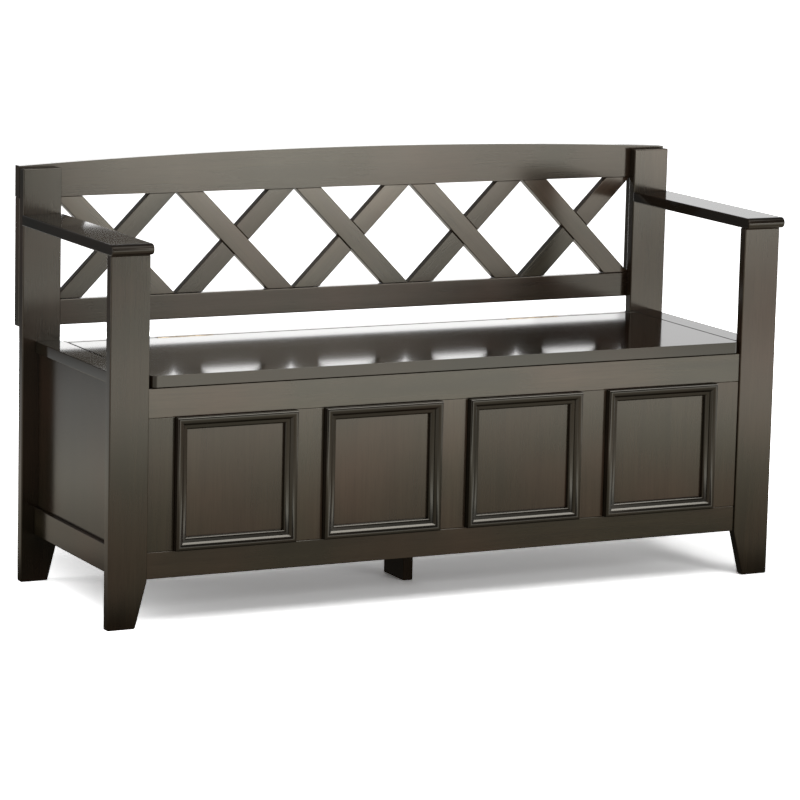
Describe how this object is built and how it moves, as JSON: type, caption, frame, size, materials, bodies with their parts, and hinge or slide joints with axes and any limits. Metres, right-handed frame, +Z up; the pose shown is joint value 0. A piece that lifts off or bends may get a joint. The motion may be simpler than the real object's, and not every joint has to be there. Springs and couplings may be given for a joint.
{
  "type": "storage bench",
  "caption": "Wooden bench with a hinged seat over a storage box, board legs, flat armrests, moulded front panels and a crossed-slat back under an arched rail.",
  "frame": {"origin": "on the floor under the middle of the bench, halfway between the front of the armrests and the back of the crest rail", "axes": "+X along the bench towards its right-hand end as seen from the front, +Y from the front to the back, +Z up"},
  "size_m": [1.224, 0.428, 0.7095],
  "materials": {
    "frame_wood": "dark espresso stain under a satin lacquer",
    "panel_wood": "dark espresso stain under a satin lacquer, grain upright",
    "seat_wood": "dark espresso stain under a glossy lacquer",
    "inner_wood": "dark stain, dull, unpolished",
    "hinge_metal": "antique bronze plated steel, satin",
    "bumper_rubber": "matt black"
  },
  "bodies": {
    "bench": {"front_left_leg": "frame_wood", "rear_left_leg": "frame_wood", "left_armrest": "frame_wood", "front_right_leg": "frame_wood", "rear_right_leg": "frame_wood", "right_armrest": "frame_wood", "crest_rail": "frame_wood", "lower_back_rail": "frame_wood", "left_back_stile": "frame_wood", "right_back_stile": "frame_wood", "falling_slat_1": "frame_wood", "rising_slat_1": "frame_wood", "falling_slat_2": "frame_wood", "rising_slat_2": "frame_wood", "falling_slat_3": "frame_wood", "rising_slat_3": "frame_wood", "falling_slat_4": "frame_wood", "rising_slat_4": "frame_wood", "falling_slat_5": "frame_wood", "rising_slat_5": "frame_wood", "front_top_rail": "frame_wood", "front_bottom_rail": "frame_wood", "left_front_stile": "frame_wood", "left_muntin": "frame_wood", "centre_muntin": "frame_wood", "right_muntin": "frame_wood", "right_front_stile": "frame_wood", "front_panel_1": "panel_wood", "panel_moulding_1": "frame_wood", "front_panel_2": "panel_wood", "panel_moulding_2": "frame_wood", "front_panel_3": "panel_wood", "panel_moulding_3": "frame_wood", "front_panel_4": "panel_wood", "panel_moulding_4": "frame_wood", "left_side_rail": "frame_wood", "left_side_panel": "panel_wood", "left_seat_end_strip": "seat_wood", "right_side_rail": "frame_wood", "right_side_panel": "panel_wood", "right_seat_end_strip": "seat_wood", "rear_seat_rail": "seat_wood", "rear_panel": "panel_wood", "rear_bottom_rail": "frame_wood", "bottom_panel": "inner_wood", "front_bottom_cleat": "inner_wood", "rear_bottom_cleat": "inner_wood", "centre_brace": "inner_wood", "centre_foot": "frame_wood", "left_hinge_box_leaf": "hinge_metal", "left_hinge_pin": "hinge_metal", "left_lid_bumper": "bumper_rubber", "right_hinge_box_leaf": "hinge_metal", "right_hinge_pin": "hinge_metal", "right_lid_bumper": "bumper_rubber"},
    "lid": {"lid": "seat_wood", "left_hinge_lid_leaf": "hinge_metal", "right_hinge_lid_leaf": "hinge_metal"}
  },
  "joints": [
    {"name": "lid_hinge", "type": "hinge", "parent": "bench", "child": "lid", "pos_m": [0, 0.14925, 0.403], "axis": [-1, 0, 0], "range_deg": [0, 90]}
  ]
}
